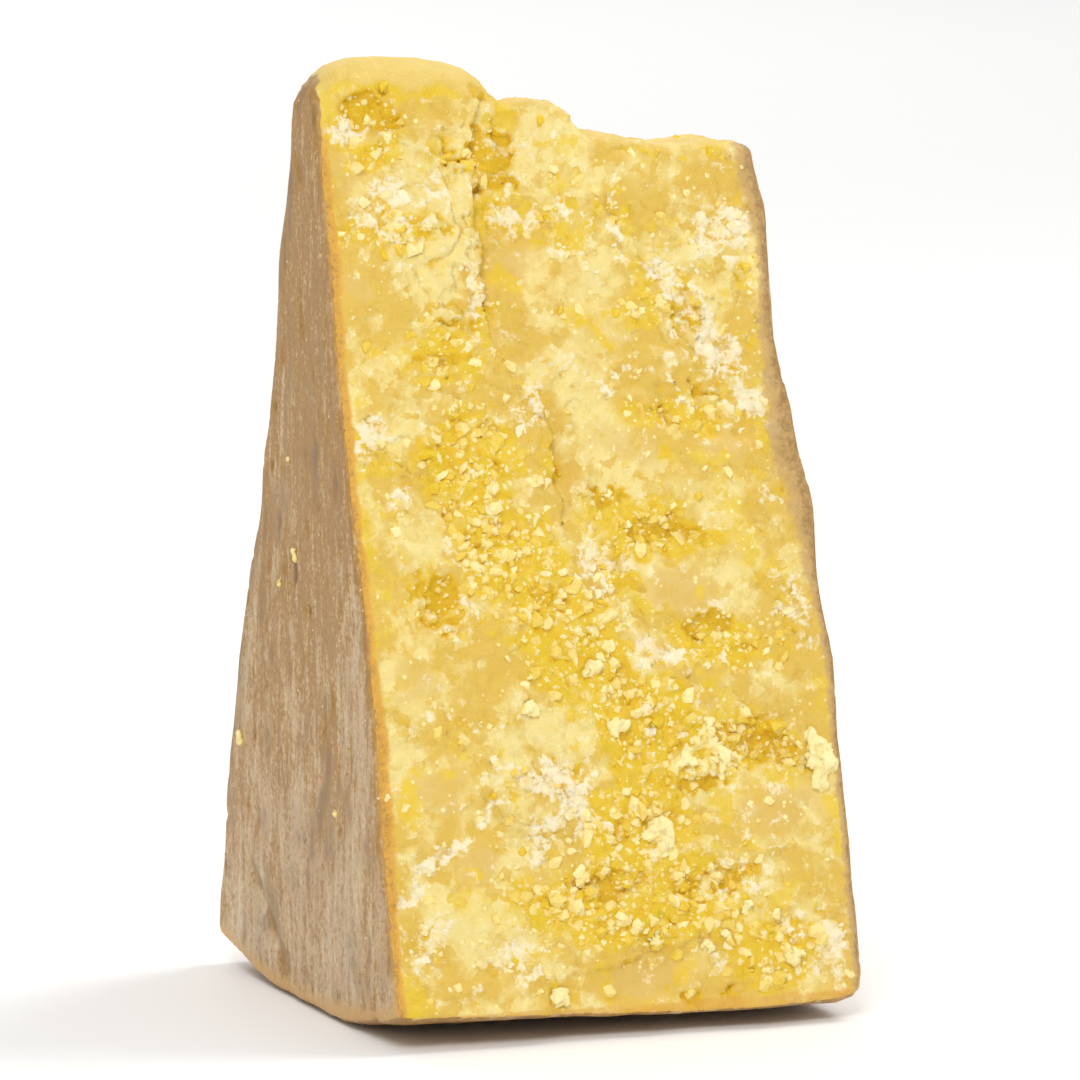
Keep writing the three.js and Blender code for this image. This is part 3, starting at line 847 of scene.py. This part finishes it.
def grain_group(name):
    """Noise of two sizes: soft clouds of 2.4 mm and flecks of 0.8 mm."""
    outputs = {"Soft": "Float", "Flecks": "Float"}
    tree, w, start, end = group(name, "ShaderNodeTree", {"Place": "Vector"}, outputs)
    w.fill(end["Soft"], w.noise(start["Place"], 2.4, 2, 0.6))
    w.fill(end["Flecks"], w.noise(start["Place"], 0.8, 3, 0.75))
    return tree


def specks_group(name):
    """Round pale specks in the paste: where a random share of small cells has its middle."""
    inputs = {"Place": "Vector", "Cell": "Float", "Share": "Float", "Size": "Float"}
    tree, w, start, end = group(name, "ShaderNodeTree", inputs, {"Specks": "Float"})
    numbers, distance = w.cell_noise(start["Place"], w.math("DIVIDE", 1.0, start["Cell"]))
    chance = numbers[0]
    kept = w.math("LESS_THAN", chance, start["Share"])
    reach = w.math("MULTIPLY", start["Size"], w.math("ADD", w.math("DIVIDE", chance, start["Share"]), 0.3))
    inside = w.rise(w.math("SUBTRACT", reach, distance), 0, 0.12)
    w.fill(end["Specks"], w.math("MULTIPLY", inside, kept))
    return tree


def crumb_group(name):
    """The finest grain of broken paste, as a height in millimetres."""
    sockets = {"Place": "Vector", "Height": "Float"}
    tree, w, start, end = group(name, "ShaderNodeTree", sockets, {"Height": "Float"})
    w.fill(end["Height"], w.math("MULTIPLY", w.noise(start["Place"], 0.55, 3, 0.7), start["Height"]))
    return tree


SHARED_GROUPS = {"Grain": grain_group, "Crystal specks": specks_group, "Fine crumb": crumb_group}

# -------------------- materials


def new_material(name, roughness):
    """A material with a Principled shader, its wiring and the shader's inputs."""
    material = bpy.data.materials.new(name)
    material.use_nodes = True
    material.node_tree.nodes.clear()
    w = Wiring(material.node_tree)
    shader = w.add("ShaderNodeBsdfPrincipled", {"Roughness": roughness})
    w.add("ShaderNodeOutputMaterial", {"Surface": shader.outputs[0]})
    return material, w, shader.inputs


def add_bump(w, shader, height):
    """Wires a height in millimetres to the shader's normal."""
    bump = w.add("ShaderNodeBump", {"Height": height, "Distance": MM, "Strength": 1.0})
    w.fill(shader["Normal"], bump.outputs[0])


def centred(w, value):
    """A value of 0 to 1 turned into one round 0."""
    return w.math("SUBTRACT", value, 0.5)


def mask(w, patterns, low, high, most, parts):
    """A mask made of marks and patterns. A mark that was read joins the patterns, to be read once."""
    added = 0.0
    for name, weight in parts.items():
        if name not in patterns:
            patterns[name] = w.mark(name)
        added = w.math("MULTIPLY_ADD", patterns[name], weight, added)
    return w.rise(added, low, high, 0, most)


def layered(w, patterns, colour, layers, tones):
    """A colour with layers of other tones over it."""
    for layer in layers:
        share = mask(w, patterns, layer.low, layer.high, layer.most, layer.parts)
        colour = w.mix(share, colour, getattr(tones, layer.tone))
    return colour


def chip_tones(w, place):
    """Torn-edged chips of about 2 mm: two random numbers that each has of its own, and its small pit."""
    torn = w.vector("SCALE", w.noise(place, 1.3, 1, output="Color"), 2.2)
    numbers, distance = w.cell_noise(w.vector("ADD", place, torn), 1 / 2.1)
    pit = w.math("MULTIPLY", w.rise(distance, 0.12, 0.3, 1, 0), w.rise(numbers[2], 0.7, 0.75))
    return numbers[0], numbers[1], pit


def paste_colour(w, place, patterns, soft, tones):
    """The colour of the broken paste, from its marks and its clouds."""
    chip, own, pits = chip_tones(w, place)
    patterns.update(chip=centred(w, chip), own=centred(w, own))
    crumbs = w.math("MULTIPLY", w.rise(chip, 0.52, 0.7), mask(w, patterns, 0.25, 0.8, 1, LOOSE))
    lumps = w.math("MULTIPLY", w.mark("lump"), w.rise(w.mark("lump_tone"), 0.2, 1, 0.5, 1.5))
    patterns["tops"] = w.math("MULTIPLY_ADD", crumbs, 0.55, lumps)
    colour = layered(w, patterns, tones.plain, PASTE_LAYERS, tones)
    specks = w.use("Crystal specks", Place=place, Cell=1.5, Share=0.5, Size=0.25)["Specks"]
    colour = w.mix(w.math("MULTIPLY", specks, w.rise(soft, 0.36, 0.6, 0.35, 0.9)), colour, tones.crystal)
    # Dark pits shown only where the golden mask is strong, so partly painted shade in recesses and on faces
    # turned from the key light
    deep_pits = w.math("MULTIPLY", pits, mask(w, patterns, 0.7, 1.3, 0.6, HOLLOWS_AND_SHADE))
    return layered(w, patterns, w.mix(deep_pits, colour, tones.shade), EDGE_LAYERS, tones)


def rind_colour(w, place, patterns, soft, tones):
    """The colour of the smooth rind: streaks along its height, stains, dents and pale specks."""
    colour = layered(w, patterns, tones.tan, RIND_LAYERS, tones)
    specks = w.use("Crystal specks", Place=place, Cell=2.6, Share=0.16, Size=0.2)["Specks"]
    specks = w.math("MULTIPLY", specks, 0.7)
    light = w.rise(soft, 0.45, 0.55)
    colour = w.mix(w.math("MULTIPLY", specks, light), colour, tones.bloom)
    colour = w.mix(w.math("MULTIPLY", specks, w.math("SUBTRACT", 1.0, light)), colour, tones.dark)
    return layered(w, patterns, colour, RUBBED_LAYERS, tones)


def body_material(scene):
    """Paste and rind, each with its own colour, fine relief and shine."""
    material, w, shader = new_material("Paste and rind", 0.55)
    place = w.place()
    grain = w.use("Grain", Place=place)
    soft = grain["Soft"]
    streaks = w.noise(w.vector("MULTIPLY", place, (1, 1, 0.2)), 1.9, 4, 0.72)
    patterns = dict(soft=centred(w, soft), flecks=centred(w, grain["Flecks"]), streaks=centred(w, streaks))
    paste = paste_colour(w, place, patterns, soft, scene.cheese_paste)
    rind = rind_colour(w, place, patterns, soft, scene.cheese_rind)
    share = mask(w, patterns, 0.38, 0.62, 1, dict(rind=1, soft=0.5))
    w.fill(shader["Base Color"], w.mix(share, paste, rind))
    depth = w.rise(w.mark("smooth"), 0, 1, 0.26, 0.1)
    crumb = w.use("Fine crumb", Place=place, Height=depth)["Height"]
    add_bump(w, shader, w.between(share, crumb, w.math("MULTIPLY", streaks, 0.2)))
    dry, polished = w.rise(w.mark("chalk"), 0, 1, 0.5, 0.75), w.rise(streaks, 0.3, 0.7, 0.42, 0.6)
    w.fill(shader["Roughness"], w.between(share, dry, polished))
    return material


def grain_material(name, dark, light):
    """Small pieces of paste: each has its own tone between two colours, with finer clouds; on the larger
    crumbs that tone is painted shade, darker at their foot.
    """
    material, w, shader = new_material(name, 0.55)
    place = w.place()
    flecks = centred(w, w.use("Grain", Place=place)["Flecks"])
    w.fill(shader["Base Color"], w.mix(w.math("MULTIPLY_ADD", flecks, 0.8, w.mark("tint")), dark, light))
    add_bump(w, shader, w.use("Fine crumb", Place=place, Height=0.2)["Height"])
    return material


# -------------------- scattered small pieces

SMALLER = 2.2  # the higher, the more of the pieces are near the smallest size
FORM_RANGE = (0.7, 0.7, 0.8), (1.3, 1.3, 1.2)  # each piece's own form, times its kind's
LUMPS = 1.4  # waves of unevenness to a piece


def scatter_tree(name):
    """Small uneven pebbles or flakes over a surface, thickest where one of its marks is strong."""
    numbers = dict.fromkeys(("Most", "Spacing", "Smallest", "Largest", "Tilt", "Sink", "Uneven"), "Float")
    inputs = {"Geometry": "Geometry", "Mark": "String", "Form": "Vector", **numbers, "Seed": "Int",
              "Material": "Material"}
    tree, w, start, end = group(name, "GeometryNodeTree", inputs, {"Geometry": "Geometry"})
    seed = lambda more: w.math("ADD", start["Seed"], more)
    share = w.math("MINIMUM", w.math("MAXIMUM", w.stored(start["Mark"]), 0.0), 1.0)
    spacing = {"Mesh": start["Geometry"], "Distance Min": start["Spacing"], "Density Max": start["Most"],
               "Density Factor": share, "Seed": start["Seed"]}
    points = w.add("GeometryNodeDistributePointsOnFaces", spacing, distribute_method="POISSON").outputs
    larger = w.math("POWER", w.random(start["Seed"]), SMALLER)
    span = w.math("SUBTRACT", start["Largest"], start["Smallest"])
    size = w.math("MULTIPLY_ADD", larger, span, start["Smallest"])
    depth = w.math("MULTIPLY", size, w.math("MULTIPLY", start["Sink"], -1.0))
    sunk = w.vector("SCALE", points["Normal"], depth)
    moved = w.add("GeometryNodeSetPosition", {"Geometry": points["Points"], "Offset": sunk}).outputs[0]
    lean = w.math("MULTIPLY", start["Tilt"], -1.0)
    low = w.add("ShaderNodeCombineXYZ", {0: lean, 1: lean, 2: -math.pi}).outputs[0]
    high = w.add("ShaderNodeCombineXYZ", {0: start["Tilt"], 1: start["Tilt"], 2: math.pi}).outputs[0]
    turned = w.add("FunctionNodeRotateRotation", {0: points["Rotation"], 1: w.random(seed(5), low, high)},
                   rotation_space="LOCAL").outputs[0]
    pebble = w.add("GeometryNodeMeshIcoSphere", {"Radius": 1.0, "Subdivisions": 1}).outputs[0]
    form = w.vector("MULTIPLY", start["Form"], w.random(seed(9), *FORM_RANGE))
    layout = {"Points": moved, "Instance": pebble, "Rotation": turned, "Scale": w.vector("SCALE", form, size)}
    pieces = w.add("GeometryNodeInstanceOnPoints", layout).outputs[0]
    tint = w.random(seed(13))
    own_size = w.add("GeometryNodeInputInstanceScale").outputs[0]
    length = w.add("ShaderNodeVectorMath", {0: own_size}, operation="LENGTH").outputs["Value"]
    for label, value in (("tint", tint), ("grain_size", length)):
        pieces = w.add("GeometryNodeStoreNamedAttribute", {"Geometry": pieces, "Name": label, "Value": value},
                       data_type="FLOAT", domain="INSTANCE").outputs[0]
    real = w.add("GeometryNodeRealizeInstances", {0: pieces}).outputs[0]
    length = w.stored("grain_size")
    fine = w.vector("SCALE", w.add("GeometryNodeInputPosition").outputs[0], w.math("DIVIDE", LUMPS, length))
    lumps = w.vector("SUBTRACT", w.noise(fine, 1, 1, output="Color"), (0.5, 0.5, 0.5))
    offset = w.vector("SCALE", lumps, w.math("MULTIPLY", length, start["Uneven"]))
    uneven = w.add("GeometryNodeSetPosition", {"Geometry": real, "Offset": offset}).outputs[0]
    w.fill(end["Geometry"],
           w.add("GeometryNodeSetMaterial", {"Geometry": uneven, "Material": start["Material"]}).outputs[0])
    return tree


def scatter(context, name, kind, colours, spacing, **values):
    """A piece of small pebbles or flakes, scattered over the chunk's fine mesh."""
    sizes = context.scene.cheese_scatter
    material = grain_material(name.replace("_", " ").capitalize(), *colours)
    values.update(
        Most=getattr(sizes, kind + "s") * 10_000.0,  # square centimetres to a square metre
        Smallest=getattr(sizes, kind + "_small"), Largest=getattr(sizes, kind + "_large"),
        Spacing=spacing * MM, Mark=kind + "_share", Seed=sizes.seed + values["Seed"], Material=material)
    tree = bpy.data.node_groups.get("Scatter small pieces") or scatter_tree("Scatter small pieces")
    host = placed(name + "_host", body_mesh().copy())
    modifier = host.modifiers.new("Scatter", "NODES")
    modifier.node_group = tree
    sockets = {item.name: item.identifier for item in tree.interface.items_tree if item.in_out == "INPUT"}
    for label, value in values.items():
        modifier[sockets[label]] = value
    add_piece(name, baked(host), material)
    return {"FINISHED"}


# -------------------- operators


def body_mesh():
    """The finished mesh of paste and rind."""
    piece = bpy.data.objects.get("cheese_body")
    if piece is None:
        raise RuntimeError("make the paste and rind first")
    return piece.data


class CHEESE_OT_body(bpy.types.Operator):
    """Make the paste and rind of the chunk, with their fine relief"""

    bl_idname = "cheese.body"
    bl_label = "Paste and rind"

    def execute(self, context):
        sizes = context.scene.cheese_surface
        ground = Ground(fine_copy(NODE, sizes.cell))
        marks = ground.shape(sizes)
        mesh = thinned(ground.mesh, MOST_TRIANGLES, marks)
        mesh.shade_smooth()
        piece = add_piece("cheese_body", mesh, body_material(context.scene))
        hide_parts(NODE)
        return {"FINISHED"}


class CHEESE_OT_crystals(bpy.types.Operator):
    """Scatter the round pale crystals over the broken faces"""

    bl_idname = "cheese.crystals"
    bl_label = "Crystals"

    def execute(self, context):
        tones = context.scene.cheese_paste
        return scatter(context, "pale_crystals", "crystal", (tones.pale, tones.crystal), 0.6,
                       Form=(1, 1, 0.8), Tilt=math.pi, Sink=0.45, Uneven=0.9, Seed=0)


class CHEESE_OT_grains(bpy.types.Operator):
    """Scatter the yellow grains of the crumbly ground"""

    bl_idname = "cheese.grains"
    bl_label = "Paste grains"

    def execute(self, context):
        tones = context.scene.cheese_paste
        return scatter(context, "paste_grains", "grain", (tones.bright, tones.crystal), 0.7,
                       Form=(1.2, 1, 0.8), Tilt=math.pi, Sink=0.4, Uneven=0.9, Seed=100)


class CHEESE_OT_flakes(bpy.types.Operator):
    """Scatter thin flakes over the dry white patches"""

    bl_idname = "cheese.flakes"
    bl_label = "Flakes"

    def execute(self, context):
        tones = context.scene.cheese_paste
        return scatter(context, "dry_flakes", "flake", (tones.pale, tones.chalk), 0.8,
                       Form=(1, 0.75, 0.22), Tilt=0.4, Sink=0.08, Uneven=1.0, Seed=200)


class CHEESE_OT_specks(bpy.types.Operator):
    """Scatter the pale specks of the flat rinds"""

    bl_idname = "cheese.specks"
    bl_label = "Rind specks"

    def execute(self, context):
        tones = context.scene.cheese_rind
        return scatter(context, "rind_specks", "speck", (tones.rim, tones.bloom), 1.5,
                       Form=(1, 1, 0.5), Tilt=0.3, Sink=0.2, Uneven=0.4, Seed=300)


class CHEESE_OT_crumbs(bpy.types.Operator):
    """Make the larger crumbs that stick to the front face, and the torn flecks of the left rind"""

    bl_idname = "cheese.crumbs"
    bl_label = "Crumbs"

    def execute(self, context):
        tones = context.scene.cheese_paste
        body = body_mesh()
        tree = BVHTree.FromPolygons([v.co for v in body.vertices], [p.vertices for p in body.polygons])
        made = bmesh.new()
        for crumb in CRUMBS:
            self.add_crumb(made, tree, crumb, lambda x, z: (x, -FAR_OFF, z), Vector((0, 1, 0)))
        for chip in RIND_CHIPS:
            self.add_crumb(made, tree, chip, lambda y, z: (-FAR_OFF, y, z), Vector((1, 0, 0)))
        mesh = bpy.data.meshes.new("crumb_lumps")
        made.to_mesh(mesh)
        made.free()
        host = placed("crumb_lumps", mesh)
        cells(host, CRUMB_CELL * MM)
        joined = baked(host)
        points = vectors(joined, "co") / MM
        height = chips_at(points, 1.6, 61) * 0.45 + noise_at(points, (0.8, 62, 0.25))
        moved = points + vectors(joined, "normal") * height[:, None]
        joined.vertices.foreach_set("co", (moved * MM).ravel())
        away = np.array([tree.find_nearest(v.co)[3] for v in joined.vertices]) / MM
        # Painted shade: each crumb takes the darker crumb tone at its foot, near the face, and the paler
        # crystal tone away from it
        store(joined, "tint", ease(away, -0.6, 0.7) + noise_at(points, (2.5, 63, 0.4)))
        joined.shade_smooth()
        add_piece("crumbs", joined, grain_material("Crumb", tones.crumb, tones.crystal))
        return {"FINISHED"}

    def add_crumb(self, made, tree, crumb, far_off, inwards):
        """Adds the lumps of one crumb, each resting on the face that lies inwards from far off."""
        for across, up, radius in crumb.lumps:
            start = Vector(far_off(crumb.x + across, crumb.z + up)) * MM
            hit, normal, _, _ = tree.ray_cast(start, inwards)
            if hit is None:
                raise RuntimeError(f"the crumb at {crumb.x}, {crumb.z} misses the chunk")
            middle = hit + normal * (radius * crumb.lift * MM)
            place = Matrix.Translation(middle) @ Matrix.Diagonal((1, CRUMB_DEPTH, 1, 1))
            bmesh.ops.create_icosphere(made, subdivisions=3, radius=radius * MM, matrix=place)


class CHEESE_OT_stage(bpy.types.Operator):
    """Set up the pale floor, the lights and the camera"""

    bl_idname = "cheese.stage"
    bl_label = "Floor, lights and camera"

    def execute(self, context):
        sizes = context.scene.cheese_stage
        self.add_floor(sizes)
        self.add_camera(context, sizes)
        for name, power, place, width, aim in LIGHTS:
            self.add_light(name, getattr(sizes, power), place, width, aim)
        world = bpy.data.worlds.new("Studio")
        world.use_nodes = True
        backdrop = world.node_tree.nodes["Background"].inputs
        backdrop["Color"].default_value = (1, 1, 1, 1)
        backdrop["Strength"].default_value = sizes.sky
        context.scene.world = world
        context.scene.view_settings.view_transform = "Standard"
        return {"FINISHED"}

    def add_floor(self, sizes):
        mesh = bpy.data.meshes.new("floor")
        reach = sizes.floor_reach
        corners = [(-reach, -reach, 0), (reach, -reach, 0), (reach, reach, 0), (-reach, reach, 0)]
        mesh.from_pydata(corners, [], [(0, 1, 2, 3)])
        material, w, shader = new_material("Pale floor", 0.8)
        darker = tuple(c * 0.985 for c in sizes.floor)
        w.fill(shader["Base Color"], w.mix(w.noise(w.place(), 60), sizes.floor, darker))
        mesh.materials.append(material)
        placed("floor", mesh)

    def add_camera(self, context, sizes):
        level = math.cos(sizes.elevation)
        back = Vector((math.sin(sizes.azimuth) * level, -math.cos(sizes.azimuth) * level,
                       math.sin(sizes.elevation)))
        data = bpy.data.cameras.new("Camera")
        data.lens = sizes.lens
        data.sensor_width = 36
        camera = placed("Camera", data)
        camera.location = Vector(sizes.target) + back * sizes.distance
        camera.rotation_euler = (-back).to_track_quat("-Z", "Y").to_euler()
        context.scene.camera = camera

    def add_light(self, name, power, place, width, aim):
        data = bpy.data.lights.new(name, "AREA")
        data.energy = power
        data.shape = "DISK"
        data.size = width
        light = placed(name, data)
        light.location = place
        light.rotation_euler = (Vector(aim) - Vector(place)).to_track_quat("-Z", "Y").to_euler()


OPERATORS = [CHEESE_OT_body, CHEESE_OT_crystals, CHEESE_OT_grains, CHEESE_OT_flakes, CHEESE_OT_specks,
             CHEESE_OT_crumbs, CHEESE_OT_stage]
SETTINGS = {"cheese_surface": SurfaceSizes, "cheese_paste": PasteTones, "cheese_rind": RindTones,
            "cheese_scatter": ScatterSizes, "cheese_stage": StageSizes}


class CHEESE_PT_panel(bpy.types.Panel):
    """Lists the pieces of the chunk and their settings"""

    bl_idname = "CHEESE_PT_panel"
    bl_label = "Cheese chunk"
    bl_space_type = "VIEW_3D"
    bl_region_type = "UI"
    bl_category = "Cheese"

    def draw(self, context):
        for operator in OPERATORS:
            self.layout.operator(operator.bl_idname)
        for name, kind in SETTINGS.items():
            box = self.layout.box()
            for field in kind.__annotations__:
                box.prop(getattr(context.scene, name), field)


CLASSES = (*SETTINGS.values(), *OPERATORS, CHEESE_PT_panel)


def register():
    for kind in CLASSES:
        bpy.utils.register_class(kind)
    for name, kind in SETTINGS.items():
        setattr(bpy.types.Scene, name, PointerProperty(type=kind))


def unregister():
    for name in SETTINGS:
        delattr(bpy.types.Scene, name)
    for kind in reversed(CLASSES):
        bpy.utils.unregister_class(kind)


def main():
    register()
    for operator in OPERATORS:
        module, name = operator.bl_idname.split(".")
        getattr(getattr(bpy.ops, module), name)()


if __name__ == "__main__":
    main()
